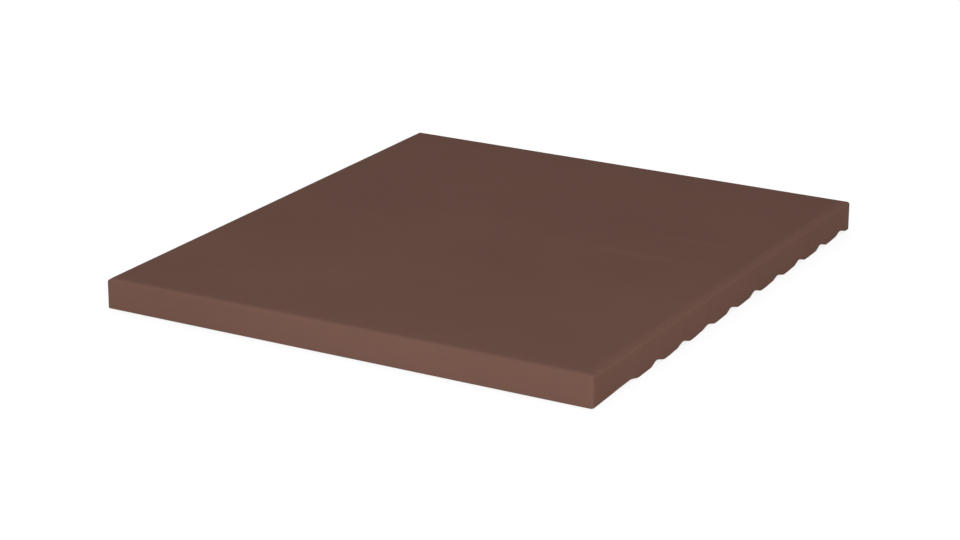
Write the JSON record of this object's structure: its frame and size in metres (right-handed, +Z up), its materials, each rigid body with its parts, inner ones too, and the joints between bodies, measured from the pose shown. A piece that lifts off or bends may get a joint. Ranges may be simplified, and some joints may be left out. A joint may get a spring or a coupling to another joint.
{
  "type": "clinker floor tile",
  "caption": "Unglazed brown clinker floor tile, slightly longer one way than the other, with a smooth walking face, rounded arrises and a grooved back that keys into the bedding.",
  "frame": {"origin": "under the middle of the tile, in the plane of the rib feet that it lies on", "axes": "+X along the grooves of the back, +Y from the front edge to the back edge, +Z up out of the walking face"},
  "size_m": [0.245, 0.275, 0.014],
  "materials": {
    "clinker": "matt unglazed brown clinker, smooth on the walking face and slightly dragged on the wire-cut edges"
  },
  "bodies": {
    "root": {"tile": "clinker"}
  },
  "joints": []
}
